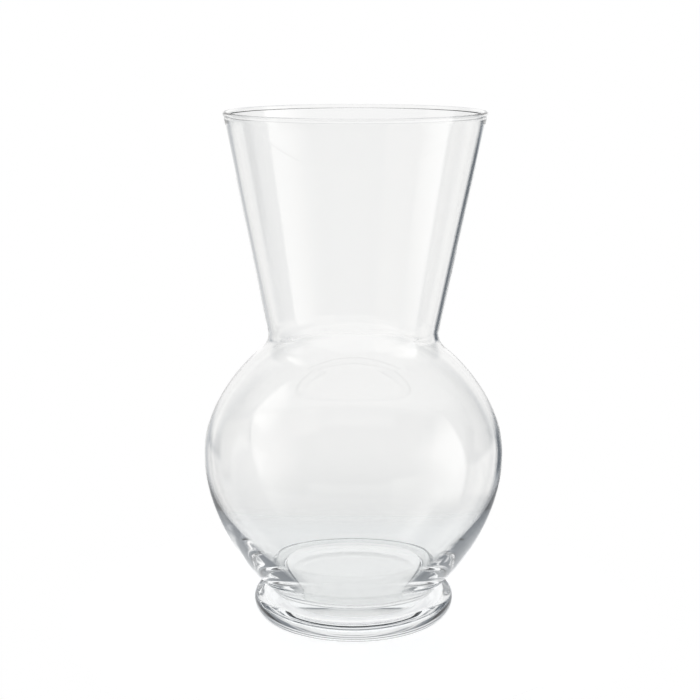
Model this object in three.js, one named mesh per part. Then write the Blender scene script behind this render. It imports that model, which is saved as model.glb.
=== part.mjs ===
// Clear glass urn vase: a blown vessel with a round belly and a flared neck, standing on a pressed
// glass foot that is fused to it. Millimetres, +Z up. The origin is the centre of the ring that the
// foot stands on, and +Z is the axis that both pieces are turned about.
import * as THREE from 'three';

const degree = Math.PI / 180;

// Rim and neck. The radii are to the outside of the glass unless they say otherwise.
const overallHeight = 248;
const rimRadius = 62.15;
const rimBead = 2.2;
const beadProud = 0.6;
const neckTopWall = 1.7;

// Throat, where the neck turns out into the shoulder
const throatRadius = 41.3;
const throatHeight = 141.8;
const throatArc = 11.2;
const throatWall = 2;
const shoulderSlope = 39 * degree;
const shoulderReach = 0.32;

// Belly, widest at bellyHeight. Below that its outside is one cubic, which would meet the axis at
// poleHeight if the foot did not cut it off. The two shares set how far the cubic's handles reach.
const bellyRadius = 73.3;
const bellyHeight = 82.9;
const bellyWall = 2.2;
const poleHeight = -12.2;
const sideShare = 0.572;
const poleShare = 0.198;

// Inside, the wall thickens on its way down to the heel, where a fillet turns it into the flat floor.
// heelWall is measured level, from the outside to where the wall and the floor meet in the fillet.
const heelWall = 7.4;
const heelSlope = 47 * degree;
const heelReach = 0.37;
const heelFillet = 4;
const floorHeight = 18.2;

// Weld, the flat round face where the foot and the vessel were fused hot
const weldHeight = 10;

// Foot
const footRadius = 49.7;
const footBulgeHeight = 7.2;
const crownDip = 16 * degree;
const crownReach = 0.45;
const contactRadius = 42;
const contactWidth = 4;
const hollowDepth = 1.2;

// Facets around the axis
const turnSteps = 48;

const point = (radius, height) => new THREE.Vector2(radius, height);
const heading = (angle) => new THREE.Vector2(Math.cos(angle), Math.sin(angle));

// Points along an arc of an ellipse, both ends included.
function arc(centre, radiusAcross, radiusUp, from, to, steps) {
  const curve = new THREE.EllipseCurve(
    centre.x, centre.y, radiusAcross, radiusUp, from, to, to < from);
  return curve.getPoints(steps);
}

// Points along a smooth cubic that leaves start along one heading and arrives at end along another.
// Its handles are reachShare of the distance between the ends.
function blend(start, startHeading, end, endHeading, reachShare, steps) {
  const reach = start.distanceTo(end) * reachShare;
  const curve = new THREE.CubicBezierCurve(
    start,
    start.clone().addScaledVector(startHeading, reach),
    end.clone().addScaledVector(endHeading, -reach),
    end);
  return curve.getPoints(steps);
}

// The solid swept by an outline about the axis, with the outline's height along +Z.
function turned(name, outline, material) {
  const distinct = outline.filter((p, i) => i === 0 || p.distanceTo(outline[i - 1]) > 0.001);
  const geometry = new THREE.LatheGeometry(distinct, turnSteps).rotateX(Math.PI / 2);
  const mesh = new THREE.Mesh(geometry, material);
  mesh.name = name;
  return mesh;
}

// Colourless soda-lime glass, with a glossy fire-polished or mould-polished skin.
function clearGlass() {
  return new THREE.MeshStandardMaterial({
    color: 0xeef3f2, roughness: 0.05, metalness: 0, transparent: true, opacity: 0.35,
  });
}

// One wall of the neck, throat and shoulder, from its equator point up to just under the rim bead.
// The throat's arcs share one centre, so the glass there is as thick as throatWall all round the arc.
function neckAndShoulder(equatorRadius, arcRadius, neckTop) {
  const arcCentre = point(throatRadius + throatArc, throatHeight);
  const shoulderAngle = 1.5 * Math.PI - shoulderSlope;
  const towardsRim = neckTop.clone().sub(arcCentre);
  const neckAngle = towardsRim.angle() + Math.acos(arcRadius / towardsRim.length());
  const throat = arc(arcCentre, arcRadius, arcRadius, shoulderAngle, neckAngle, 6);
  const equator = point(equatorRadius, bellyHeight);
  const upTheShoulder = heading(Math.PI - shoulderSlope);
  return [
    ...blend(equator, heading(Math.PI / 2), throat[0], upTheShoulder, shoulderReach, 9),
    ...throat,
    neckTop,
  ];
}

// The outside of the belly below its widest circle, as a curve that runs down to the axis.
function lowerBelly() {
  const drop = bellyHeight - poleHeight;
  return new THREE.CubicBezierCurve(
    point(bellyRadius, bellyHeight),
    point(bellyRadius, bellyHeight - sideShare * drop),
    point(poleShare * bellyRadius, poleHeight),
    point(0, poleHeight));
}

// How far along the falling outside of the belly it comes down to a height.
function alongAt(height) {
  const outside = lowerBelly();
  let above = 0;
  let below = 1;
  while (below - above > 1e-9) {
    const middle = (above + below) / 2;
    if (outside.getPoint(middle).y > height) {
      above = middle;
    } else {
      below = middle;
    }
  }
  return (above + below) / 2;
}

// The radius of the outside of the lower belly at a height.
function outsideRadius(height) {
  return lowerBelly().getPoint(alongAt(height)).x;
}

// The edge of the weld, where the belly, the foot and the groove between them meet.
function weldEdge() {
  return point(outsideRadius(weldHeight), weldHeight);
}

// The outside of the lower belly, from the weld up to the widest circle.
function outerBelly(steps) {
  const outside = lowerBelly();
  const weld = alongAt(weldHeight);
  const shares = Array.from({ length: steps }, (_, i) => 1 - (i + 1) / steps);
  return [weldEdge(), ...shares.map((share) => outside.getPoint(weld * share))];
}

// The inside of the lower belly, from the widest circle down the wall and over the fillet to the
// middle of the floor.
function innerBelly(steps) {
  const equator = point(bellyRadius - bellyWall, bellyHeight);
  const corner = point(outsideRadius(floorHeight) - heelWall, floorHeight);
  const downTheWall = heading(Math.PI + heelSlope);
  const filletTop = corner.clone().addScaledVector(downTheWall, -heelFillet);
  const filletEnd = point(corner.x - heelFillet, floorHeight);
  const fillet = new THREE.QuadraticBezierCurve(filletTop, corner, filletEnd);
  return [
    ...blend(equator, heading(-0.5 * Math.PI), filletTop, downTheWall, heelReach, steps),
    ...fillet.getPoints(4),
    point(0, floorHeight),
  ];
}

// The blown vessel, from the weld up its outside, over the rim and down its inside to the floor.
function blownVessel(material) {
  const beadCentre = point(rimRadius - rimBead / 2, overallHeight - rimBead / 2);
  const neckTopHeight = overallHeight - 1.5 * rimBead;
  const outerNeckTop = point(rimRadius - beadProud, neckTopHeight);
  const innerNeckTop = point(rimRadius - beadProud - neckTopWall, neckTopHeight);
  const bead = arc(beadCentre, rimBead / 2, rimBead / 2, -60 * degree, 210 * degree, 9);
  return turned('blown_vessel', [
    point(0, weldHeight),
    ...outerBelly(12),
    ...neckAndShoulder(bellyRadius, throatArc, outerNeckTop),
    ...bead,
    ...neckAndShoulder(bellyRadius - bellyWall, throatArc + throatWall, innerNeckTop).reverse(),
    ...innerBelly(12),
  ], material);
}

// The pressed foot: a round-edged disc that stands on a flat ring, with a shallow hollow inside the
// ring. Its crown rises over the round edge and dips again into the groove under the belly.
function pressedFoot(material) {
  const bulge = point(footRadius, footBulgeHeight);
  const hollowRadius = contactRadius - contactWidth;
  return turned('pressed_foot', [
    ...new THREE.QuadraticBezierCurve(
      point(0, hollowDepth), point(hollowRadius / 2, hollowDepth), point(hollowRadius, 0)).getPoints(4),
    ...arc(point(contactRadius, footBulgeHeight), footRadius - contactRadius, footBulgeHeight,
      -0.5 * Math.PI, 0, 6),
    ...blend(bulge, heading(Math.PI / 2), weldEdge(), heading(Math.PI + crownDip), crownReach, 7),
    point(0, weldHeight),
  ], material);
}

const vase = new THREE.Group();
vase.add(blownVessel(clearGlass()), pressedFoot(clearGlass()));

export default vase;
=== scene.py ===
"""A clear glass urn vase in a white studio: a blown vessel and the pressed foot fused to it.

Lengths are in metres and +Z is up the vase's axis. Each glass piece is a surface turned about that axis:
an outline of radius and height, carried once round, with a small unevenness laid over it.
"""
import math

import bpy
import numpy as np
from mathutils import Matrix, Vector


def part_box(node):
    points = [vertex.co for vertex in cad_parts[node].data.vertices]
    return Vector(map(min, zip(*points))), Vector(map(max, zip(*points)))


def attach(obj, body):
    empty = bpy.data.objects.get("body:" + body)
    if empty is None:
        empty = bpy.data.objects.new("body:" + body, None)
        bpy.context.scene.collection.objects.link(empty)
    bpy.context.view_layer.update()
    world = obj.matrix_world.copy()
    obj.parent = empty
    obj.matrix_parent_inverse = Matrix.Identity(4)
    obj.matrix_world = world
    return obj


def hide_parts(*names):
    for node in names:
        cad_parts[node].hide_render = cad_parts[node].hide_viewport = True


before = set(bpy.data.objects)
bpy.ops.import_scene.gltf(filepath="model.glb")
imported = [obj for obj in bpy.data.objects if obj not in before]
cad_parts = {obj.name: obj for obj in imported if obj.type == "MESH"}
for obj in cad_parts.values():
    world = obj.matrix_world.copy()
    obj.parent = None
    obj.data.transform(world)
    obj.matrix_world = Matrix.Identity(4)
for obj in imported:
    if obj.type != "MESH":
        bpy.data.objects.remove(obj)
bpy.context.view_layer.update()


# The blown vessel: a bubble of clear soda-lime glass, drawn in to a throat and flared into a neck. Its
# lip was cut and melted round into a bead, and its floor was left thicker than its walls.
vessel_low, vessel_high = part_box("blown_vessel")
rim_height = vessel_high.z
rim_radius = 0.06215
bead_width = 0.0022
bead_proud = 0.0006
bead_start = math.radians(-60)
bead_stop = math.radians(210)
neck_top_wall = 0.0017
neck_lean = 0.00085
throat_radius = 0.0413
throat_height = 0.1418
throat_arc = 0.0112
throat_wall = 0.0020
shoulder_slope = math.radians(39)
shoulder_reach = 0.32
belly_radius = vessel_high.x
belly_height = 0.0829
belly_wall = 0.0022
pole_height = -0.0122
side_share = 0.572
pole_share = 0.198
heel_wall = 0.0074
heel_slope = math.radians(47)
heel_reach = 0.37
heel_fillet = 0.0040
floor_height = 0.0182
weld_height = vessel_low.z

# How finely the vessel's outline and the turn about the axis are divided
facets_around = 192
bead_points = 28
neck_points = 30
throat_points = 34
shoulder_points = 70
belly_points = 90
fillet_points = 24
inside_floor_points = 12
search_points = 20001
sharp_angle = math.radians(40)

# The vessel's skin and glass
skin_wave = 0.00001
rim_fade = 0.030
floor_fade = 0.010
glass_index = 1.52
# Painted shade: between these two heights the glass tint clears upwards. Below them it is darker, partly
# because the thick base takes up light and partly as a stand-in for the shadow under and behind the vase
# seen through the glass.
shade_fade_bottom = 0.012
shade_fade_top = 0.068
vessel_low_shaded_tint = (0.815, 0.826, 0.822)
vessel_high_tint = (0.989, 0.989, 0.984)
wear_scale = 90
wear_detail = 3
wear_start = 0.45
wear_full = 0.80
polished_roughness = 0.004
worn_roughness = 0.030
swell_scale = 38
swell_detail = 1
swell_strength = 0.15
swell_depth = 0.0001


def point(radius, height):
    """One point of an outline: its distance from the axis and its height."""
    return np.array([radius, height])


def heading(angle):
    """The unit step along a heading, from level and outwards at 0 to straight up at a quarter turn."""
    return np.array([math.cos(angle), math.sin(angle)])


def arc(centre, across, up, start, stop, steps):
    """Points round an ellipse: the centre plus across times the cosine and up times the sine."""
    angle = np.linspace(start, stop, steps)
    return centre + np.column_stack([across * np.cos(angle), up * np.sin(angle)])


def cubic(start, first, second, end, along):
    """Points of a cubic at shares of its way: its four control points weighted by Bernstein's cubics."""
    t = np.asarray(along)[:, None]
    from_start = (1 - t) ** 3 * start + 3 * t * (1 - t) ** 2 * first
    return from_start + 3 * t * t * (1 - t) * second + t ** 3 * end


def blend(start, leaving, end, arriving, reach_share, steps):
    """A cubic that leaves one end and arrives at the other along given headings."""
    reach = np.linalg.norm(end - start) * reach_share
    along = np.linspace(0, 1, steps)
    return cubic(start, start + leaving * reach, end - arriving * reach, end, along)


def across(outline):
    """The unit normal at each point of an outline, a quarter turn to the right of the way it runs."""
    way = np.gradient(outline, axis=0)
    way /= np.linalg.norm(way, axis=1)[:, None]
    return np.column_stack([way[:, 1], -way[:, 0]])


def neck_and_shoulder(equator_radius, arc_radius, neck_top):
    """One wall from the widest circle up: a cubic shoulder, the throat's arc and a straight neck.

    The neck is the line from its top that touches the arc.
    """
    centre = point(throat_radius + throat_arc, throat_height)
    to_rim = neck_top - centre
    neck_angle = math.atan2(to_rim[1], to_rim[0]) + math.acos(arc_radius / np.linalg.norm(to_rim))
    shoulder_angle = 1.5 * math.pi - shoulder_slope
    throat = arc(centre, arc_radius, arc_radius, shoulder_angle, neck_angle, throat_points)
    equator = point(equator_radius, belly_height)
    shoulder = blend(equator, heading(math.pi / 2), throat[0], heading(math.pi - shoulder_slope),
                     shoulder_reach, shoulder_points)
    neck = np.linspace(throat[-1], neck_top, neck_points)
    return np.vstack([shoulder, throat[1:], neck[1:]])


def lower_belly(along):
    """The belly's outside below its widest circle: one cubic that would end level on the axis."""
    drop = belly_height - pole_height
    return cubic(
        point(belly_radius, belly_height),
        point(belly_radius, belly_height - side_share * drop),
        point(pole_share * belly_radius, pole_height),
        point(0, pole_height),
        along)


def along_at(height):
    """How far along the belly's outside it comes down to a height, read off finely spaced points."""
    fine = np.linspace(0, 1, search_points)
    return np.interp(-height, -lower_belly(fine)[:, 1], fine)


def belly_outside(steps):
    """The outside of the lower belly from the weld up: the cubic, cut off at the weld's height."""
    return lower_belly(np.linspace(along_at(weld_height), 0, steps))


def belly_inside(steps):
    """The inside from the widest circle down: a cubic wall, a parabola for the fillet, and a flat floor."""
    outside_radius = lower_belly([along_at(floor_height)])[0, 0]
    corner = point(outside_radius - heel_wall, floor_height)
    down = heading(math.pi + heel_slope)
    fillet_top = corner - down * heel_fillet
    fillet_end = corner - point(heel_fillet, 0)
    wall = blend(point(belly_radius - belly_wall, belly_height), heading(-math.pi / 2), fillet_top, down,
                 heel_reach, steps)
    t = np.linspace(0, 1, fillet_points)[:, None]
    fillet = (1 - t) ** 2 * fillet_top + 2 * t * (1 - t) * corner + t * t * fillet_end
    floor = np.linspace(fillet_end, point(0, floor_height), inside_floor_points)
    return np.vstack([wall, fillet[1:], floor[1:]])


def turned_mesh(name, outline, around, ripple):
    """A closed mesh swept by an outline that starts and ends on the axis.

    Point (i, j) lies at the outline's point i, moved by ripple along the outline's normal, and turned by
    j parts of a full circle. The two ends of the outline are single points, joined to their rings by fans.
    """
    angle = np.arange(around) * (2 * np.pi / around)
    shift = across(outline)[1:-1, None, :] * ripple(outline[1:-1], angle)[..., None]
    moved = outline[1:-1, None, :] + shift
    rings = np.stack([
        moved[..., 0] * np.cos(angle),
        moved[..., 0] * np.sin(angle),
        moved[..., 1]], axis=-1)
    ends = np.array([[0, 0, outline[0, 1]], [0, 0, outline[-1, 1]]])
    points = np.vstack([rings.reshape(-1, 3), ends])
    count = len(outline) - 2
    low, high = count * around, count * around + 1
    here = np.arange(around)
    beside = (here + 1) % around
    row = np.arange(count - 1)[:, None] * around
    corners = [row + here, row + beside, row + around + beside, row + around + here]
    walls = np.stack(corners, -1).reshape(-1, 4)
    top = (count - 1) * around
    first_fan = np.column_stack([np.full(around, low), beside, here])
    last_fan = np.column_stack([np.full(around, high), top + here, top + beside])
    mesh = bpy.data.meshes.new(name)
    mesh.from_pydata(points.tolist(), [], first_fan.tolist() + walls.tolist() + last_fan.tolist())
    mesh.polygons.foreach_set("use_smooth", np.ones(len(mesh.polygons), dtype=bool))
    mesh.set_sharp_from_angle(angle=sharp_angle)
    mesh.update()
    return mesh


def blown_skin(outline, angle):
    """The vessel's unevenness, on the inside only: the sum of three sines, faded out at rim and floor.

    Two of them go three and five times round and twist as they rise, and the third goes up the wall.
    """
    height = outline[:, 1, None]
    inside = (np.arange(len(outline)) > np.argmax(outline[:, 1]))[:, None]
    below_rim = np.clip((rim_height - height) / rim_fade, 0, 1)
    above_floor = np.clip((height - floor_height) / floor_fade, 0, 1)
    round_waves = np.sin(3 * angle + 40 * height) + 0.6 * np.sin(5 * angle - 65 * height + 1.3)
    up_waves = 0.5 * np.sin(210 * height + 2 * np.sin(angle))
    return skin_wave * inside * (below_rim * above_floor) * (round_waves + up_waves)


def leaned(mesh):
    """Moves the neck sideways, by nothing at the throat and evenly more up to the lean at the rim."""
    points = np.empty(3 * len(mesh.vertices))
    mesh.vertices.foreach_get("co", points)
    points = points.reshape(-1, 3)
    up_the_neck = np.clip((points[:, 2] - throat_height) / (rim_height - throat_height), 0, 1)
    points[:, 0] += neck_lean * up_the_neck
    mesh.vertices.foreach_set("co", points.ravel())
    mesh.update()


def clear_glass(name, low_tint, high_tint):
    """Colourless glass: refracting and glossy, with a faint slow swell and tiny dulled patches.

    Its colour goes from one tint to the other up the piece, darker low down: partly because the thick glass
    low down takes more of the light, and partly as painted shade for the shadow seen through the glass.
    """
    material = bpy.data.materials.new(name)
    material.use_nodes = True
    nodes, links = material.node_tree.nodes, material.node_tree.links
    shader = nodes["Principled BSDF"]
    shader.inputs["Transmission Weight"].default_value = 1
    shader.inputs["IOR"].default_value = glass_index
    place = nodes.new("ShaderNodeTexCoord")
    up = nodes.new("ShaderNodeSeparateXYZ")
    links.new(place.outputs["Object"], up.inputs["Vector"])
    # Painted shade, partly real: the tint darkens towards the bottom for the thick base's absorption and
    # for the shadow seen through the glass.
    shade_ramp = nodes.new("ShaderNodeMapRange")
    shade_ramp.interpolation_type = "SMOOTHSTEP"
    shade_ramp.inputs["From Min"].default_value = shade_fade_bottom
    shade_ramp.inputs["From Max"].default_value = shade_fade_top
    links.new(up.outputs["Z"], shade_ramp.inputs["Value"])
    tint = nodes.new("ShaderNodeMixRGB")
    tint.inputs["Color1"].default_value = (*low_tint, 1)
    tint.inputs["Color2"].default_value = (*high_tint, 1)
    links.new(shade_ramp.outputs["Result"], tint.inputs["Fac"])
    links.new(tint.outputs["Color"], shader.inputs["Base Color"])
    wear = nodes.new("ShaderNodeTexNoise")
    wear.inputs["Scale"].default_value = wear_scale
    wear.inputs["Detail"].default_value = wear_detail
    links.new(place.outputs["Object"], wear.inputs["Vector"])
    gloss = nodes.new("ShaderNodeMapRange")
    gloss.inputs["From Min"].default_value = wear_start
    gloss.inputs["From Max"].default_value = wear_full
    gloss.inputs["To Min"].default_value = polished_roughness
    gloss.inputs["To Max"].default_value = worn_roughness
    links.new(wear.outputs["Fac"], gloss.inputs["Value"])
    links.new(gloss.outputs["Result"], shader.inputs["Roughness"])
    swell = nodes.new("ShaderNodeTexNoise")
    swell.inputs["Scale"].default_value = swell_scale
    swell.inputs["Detail"].default_value = swell_detail
    links.new(place.outputs["Object"], swell.inputs["Vector"])
    bump = nodes.new("ShaderNodeBump")
    bump.inputs["Strength"].default_value = swell_strength
    bump.inputs["Distance"].default_value = swell_depth
    links.new(swell.outputs["Fac"], bump.inputs["Height"])
    links.new(bump.outputs["Normal"], shader.inputs["Normal"])
    return material


def fused_face(name):
    """The face where two pieces were melted together: the glass runs on through it, so nothing shows."""
    material = bpy.data.materials.new(name)
    material.use_nodes = True
    shader = material.node_tree.nodes["Principled BSDF"]
    shader.inputs["Alpha"].default_value = 0
    return material


bead_centre = point(rim_radius - bead_width / 2, rim_height - bead_width / 2)
bead = arc(bead_centre, bead_width / 2, bead_width / 2, bead_start, bead_stop, bead_points)
neck_top_height = rim_height - 1.5 * bead_width
outer_neck_top = point(rim_radius - bead_proud, neck_top_height)
inner_neck_top = outer_neck_top - point(neck_top_wall, 0)
outer_side = neck_and_shoulder(belly_radius, throat_arc, outer_neck_top)
inner_side = neck_and_shoulder(belly_radius - belly_wall, throat_arc + throat_wall, inner_neck_top)[::-1]
vessel_outline = np.vstack([
    point(0, weld_height),
    belly_outside(belly_points),
    outer_side[1:],
    bead,
    inner_side[:-1],
    belly_inside(belly_points),
])
vessel_mesh = turned_mesh("vessel", vessel_outline, facets_around, blown_skin)
leaned(vessel_mesh)
vessel_mesh.materials.append(clear_glass("blown_clear_glass", vessel_low_shaded_tint, vessel_high_tint))
vessel_mesh.materials.append(fused_face("vessel_fused_face"))
vessel_faces = np.zeros(len(vessel_mesh.polygons), dtype=np.int32)
vessel_faces[:facets_around] = 1
vessel_mesh.polygons.foreach_set("material_index", vessel_faces)
vessel = bpy.data.objects.new("vessel", vessel_mesh)
bpy.context.scene.collection.objects.link(vessel)
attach(vessel, "root")
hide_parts("blown_vessel")


# The pressed foot: a gather of the same glass, pressed in a ring mould into a round-edged disc and stuck
# hot to the bottom of the bubble. It stands on a flat ring, and its crown dips into the groove above.
foot_low, foot_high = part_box("pressed_foot")
foot_radius = foot_high.x
foot_bulge_height = 0.0072
crown_dip = math.radians(16)
crown_reach = 0.45
contact_radius = 0.0420
contact_width = 0.0040
contact_height = foot_low.z
hollow_depth = 0.0012
hollow_points = 40
contact_points = 6
edge_points = 48
crown_points = 48
foot_wave = 0.00003
wave_fade_out = 0.004
wave_fade_up = 0.003
# The glass's own faint cool tint. It is greyer low down by the same painted shade and thick-glass
# absorption as the vessel.
foot_low_tint = (0.975, 0.984, 0.986)
foot_high_tint = (0.993, 0.994, 0.988)


def pressed_skin(outline, angle):
    """The foot's unevenness: inwards, by one plus a product of two sines round the edge.

    It fades out towards the ring that the foot stands on and towards the joint.
    """
    radius, height = outline[:, 0, None], outline[:, 1, None]
    beyond_ring = np.clip((radius - contact_radius) / wave_fade_out, 0, 1)
    above_ground = np.clip(height / wave_fade_up, 0, 1)
    waves = 1 + np.sin(4 * angle + 0.7) * np.sin(7 * angle + 2.1)
    return -foot_wave * (beyond_ring * above_ground) * waves


weld_edge = vessel_outline[1]
hollow_radius = contact_radius - contact_width
hollow_share = np.linspace(0, 1, hollow_points)
foot_outline = np.vstack([
    np.column_stack([hollow_radius * hollow_share, hollow_depth * (1 - hollow_share ** 2)]),
    np.linspace(point(hollow_radius, contact_height), point(contact_radius, contact_height),
                contact_points)[1:-1],
    arc(point(contact_radius, foot_bulge_height), foot_radius - contact_radius, foot_bulge_height,
        -math.pi / 2, 0, edge_points),
    blend(point(foot_radius, foot_bulge_height), heading(math.pi / 2), weld_edge,
          heading(math.pi + crown_dip), crown_reach, crown_points)[1:],
    point(0, weld_height),
])
foot_mesh = turned_mesh("foot", foot_outline, facets_around, pressed_skin)
foot_mesh.materials.append(clear_glass("pressed_clear_glass", foot_low_tint, foot_high_tint))
foot_mesh.materials.append(fused_face("foot_fused_face"))
foot_faces = np.zeros(len(foot_mesh.polygons), dtype=np.int32)
foot_faces[-facets_around:] = 1
foot_mesh.polygons.foreach_set("material_index", foot_faces)
foot = bpy.data.objects.new("foot", foot_mesh)
bpy.context.scene.collection.objects.link(foot)
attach(foot, "root")
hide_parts("pressed_foot")


# The camera: a little above the rim and looking down on the vase, as far off as the photograph's
# perspective says. The vase's axis stands a few pixels right of the photograph's middle.
photo_width = 700
focal_pixels = 1473
axis_pixel = 353.5
sensor_millimetres = 36
camera_distance = 0.699
camera_height = 0.2875
camera_pitch = math.radians(12.46)
camera_data = bpy.data.cameras.new("camera")
camera_data.sensor_width = sensor_millimetres
camera_data.lens = camera_data.sensor_width * focal_pixels / photo_width
camera_data.shift_x = (photo_width / 2 - axis_pixel) / photo_width
camera = bpy.data.objects.new("camera", camera_data)
camera.location = (0, -camera_distance, camera_height)
camera.rotation_euler = (math.pi / 2 - camera_pitch, 0, 0)
bpy.context.scene.collection.objects.link(camera)
bpy.context.scene.camera = camera


# The floor: a round of matt white paper under the vase. Most of its white is its own, so that it is as
# white as the backdrop and still shows the soft shadow under the vase. Its edge fades into the backdrop.
floor_radius = 0.160
floor_drop = 0.00015
floor_sides = 96
fade_start = 0.080
fade_end = 0.150
own_white = 0.84
paper_grey = 0.7
floor_angle = np.linspace(0, 2 * np.pi, floor_sides + 1)[:-1]
floor_points = np.column_stack([
    floor_radius * np.cos(floor_angle),
    floor_radius * np.sin(floor_angle),
    np.full(floor_sides, -floor_drop)])
floor_mesh = bpy.data.meshes.new("studio_floor")
floor_mesh.from_pydata(floor_points.tolist(), [], [list(range(floor_sides))])
floor_paper = bpy.data.materials.new("floor_paper")
floor_paper.use_nodes = True
floor_nodes, floor_links = floor_paper.node_tree.nodes, floor_paper.node_tree.links
floor_nodes.clear()
glow = floor_nodes.new("ShaderNodeEmission")
glow.inputs["Strength"].default_value = own_white
paper = floor_nodes.new("ShaderNodeBsdfDiffuse")
paper.inputs["Color"].default_value = (paper_grey, paper_grey, paper_grey, 1)
both = floor_nodes.new("ShaderNodeAddShader")
place = floor_nodes.new("ShaderNodeTexCoord")
distance = floor_nodes.new("ShaderNodeVectorMath")
distance.operation = "LENGTH"
fade = floor_nodes.new("ShaderNodeMapRange")
fade.interpolation_type = "SMOOTHSTEP"
fade.inputs["From Min"].default_value = fade_start
fade.inputs["From Max"].default_value = fade_end
nothing = floor_nodes.new("ShaderNodeBsdfTransparent")
faded = floor_nodes.new("ShaderNodeMixShader")
floor_output = floor_nodes.new("ShaderNodeOutputMaterial")
floor_links.new(glow.outputs["Emission"], both.inputs[0])
floor_links.new(paper.outputs["BSDF"], both.inputs[1])
floor_links.new(place.outputs["Object"], distance.inputs[0])
floor_links.new(distance.outputs["Value"], fade.inputs["Value"])
floor_links.new(fade.outputs["Result"], faded.inputs["Fac"])
floor_links.new(both.outputs["Shader"], faded.inputs[1])
floor_links.new(nothing.outputs["BSDF"], faded.inputs[2])
floor_links.new(faded.outputs["Shader"], floor_output.inputs["Surface"])
floor_mesh.materials.append(floor_paper)
floor = bpy.data.objects.new("studio_floor", floor_mesh)
bpy.context.scene.collection.objects.link(floor)


# The studio: a dim bluish room with a white backdrop behind the vase, pale boards round it and a soft light
# on each hand. The glass shows the dim room as dark lines. A board's edge is the angle where it begins to
# come or go and how far on it is whole or gone, in degrees; bearings are 0 behind and grow to the right.
dim_room = 0.18
dim_tint = (0.72, 0.85, 1.0)
untinted_from = 0.75
boards = {
    "backdrop": {
        "left": (-25, 11), "right": (16.5, 3), "bottom": (-90, 2), "top": (43, 12), "white": 1.00},
    "room behind": {
        "left": (-62, 25), "right": (28, 25), "bottom": (-11, 6), "top": (41, 12), "white": 0.92},
    "room on the left": {
        "left": (-181, 1), "right": (18, 3), "bottom": (-91, 1), "top": (90, 1), "white": 0.20},
    "room on the right": {
        "left": (28, 6), "right": (180, 1), "bottom": (-91, 1), "top": (90, 1), "white": 0.22},
    "room above": {
        "left": (-181, 1), "right": (180, 1), "bottom": (-8, 6), "top": (90, 1), "white": 0.20},
    "room below": {
        "left": (-181, 1), "right": (180, 1), "bottom": (-91, 1), "top": (-22, 6), "white": 0.55},
    "left fill": {
        "left": (-35, 3), "right": (-16, 3), "bottom": (-90, 2), "top": (4, 8), "white": 0.58},
    "left rear board": {
        "left": (-64, 4), "right": (-31, 4), "bottom": (-90, 2), "top": (-12, 6), "white": 0.80},
    "left board": {
        "left": (-113, 6), "right": (-76, 5), "bottom": (-90, 2), "top": (12, 5), "white": 0.55},
    "right side board": {
        "left": (32, 8), "right": (82, 3), "bottom": (-30, 6), "top": (-8, 6), "white": 0.80},
    "right front board": {
        "left": (112, 6), "right": (150, 6), "bottom": (-90, 2), "top": (-1, 3), "white": 0.70},
    "right soft light": {
        "left": (84, 4), "right": (90, 62), "bottom": (-40, 20), "top": (16, 22), "white": 1.45},
    "left soft light": {
        "left": (-116, 36), "right": (-78, 4), "bottom": (20, 8), "top": (44, 12), "white": 1.15},
    "front left": {
        "left": (-181, 1), "right": (-150, 10), "bottom": (-40, 30), "top": (-6, 4), "white": 0.55},
    "front right": {
        "left": (140, 10), "right": (180, 1), "bottom": (-40, 30), "top": (-6, 4), "white": 0.55},
}
studio = bpy.data.worlds.new("studio")
bpy.context.scene.world = studio
studio.use_nodes = True
studio_nodes, studio_links = studio.node_tree.nodes, studio.node_tree.links
studio_nodes.clear()
direction = studio_nodes.new("ShaderNodeTexCoord")
split = studio_nodes.new("ShaderNodeSeparateXYZ")
bearing = studio_nodes.new("ShaderNodeMath")
bearing.operation = "ARCTAN2"
studio_links.new(direction.outputs["Generated"], split.inputs["Vector"])
studio_links.new(split.outputs["X"], bearing.inputs[0])
studio_links.new(split.outputs["Y"], bearing.inputs[1])
rise = studio_nodes.new("ShaderNodeMath")
rise.operation = "ARCSINE"
studio_links.new(split.outputs["Z"], rise.inputs[0])
room = studio_nodes.new("ShaderNodeValue")
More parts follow.
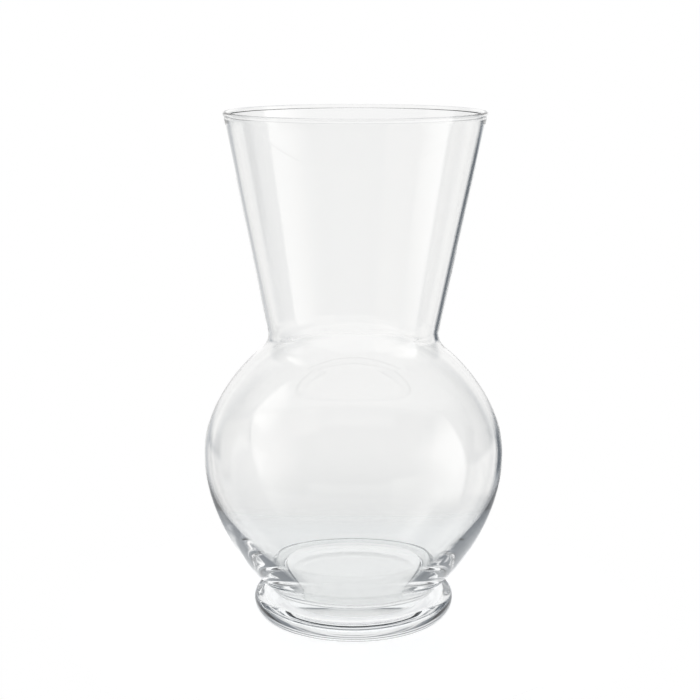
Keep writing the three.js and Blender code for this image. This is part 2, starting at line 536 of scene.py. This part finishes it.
room.outputs["Value"].default_value = dim_room
brightest = room.outputs["Value"]
for name, board in boards.items():
    share = None
    for side, angle in (("left", bearing), ("right", bearing), ("bottom", rise), ("top", rise)):
        start, softness = board[side]
        coming = side in ("left", "bottom")
        edge = studio_nodes.new("ShaderNodeMapRange")
        edge.interpolation_type = "SMOOTHSTEP"
        edge.inputs["From Min"].default_value = math.radians(start)
        edge.inputs["From Max"].default_value = math.radians(start + softness)
        edge.inputs["To Min"].default_value = 0 if coming else 1
        edge.inputs["To Max"].default_value = 1 if coming else 0
        studio_links.new(angle.outputs["Value"], edge.inputs["Value"])
        product = studio_nodes.new("ShaderNodeMath")
        product.operation = "MULTIPLY"
        product.inputs[0].default_value = board["white"]
        if share is not None:
            studio_links.new(share, product.inputs[0])
        studio_links.new(edge.outputs["Result"], product.inputs[1])
        share = product.outputs["Value"]
    larger = studio_nodes.new("ShaderNodeMath")
    larger.operation = "MAXIMUM"
    larger.label = name
    studio_links.new(brightest, larger.inputs[0])
    studio_links.new(share, larger.inputs[1])
    brightest = larger.outputs["Value"]
light = studio_nodes.new("ShaderNodeBackground")
lightness = studio_nodes.new("ShaderNodeMapRange")
lightness.inputs["From Max"].default_value = untinted_from
studio_links.new(brightest, lightness.inputs["Value"])
cast = studio_nodes.new("ShaderNodeMixRGB")
cast.inputs["Color1"].default_value = (*dim_tint, 1)
cast.inputs["Color2"].default_value = (1, 1, 1, 1)
studio_links.new(lightness.outputs["Result"], cast.inputs["Fac"])
studio_links.new(cast.outputs["Color"], light.inputs["Color"])
world_output = studio_nodes.new("ShaderNodeOutputWorld")
studio_links.new(brightest, light.inputs["Strength"])
studio_links.new(light.outputs["Background"], world_output.inputs["Surface"])


# Light is thrown to and fro many times inside the thick glass of the base, so it is followed further
# than usual.
light_bounces = 32
bpy.context.scene.cycles.max_bounces = light_bounces
bpy.context.scene.cycles.glossy_bounces = light_bounces
bpy.context.scene.cycles.transmission_bounces = light_bounces

bpy.context.scene.view_settings.view_transform = "Standard"
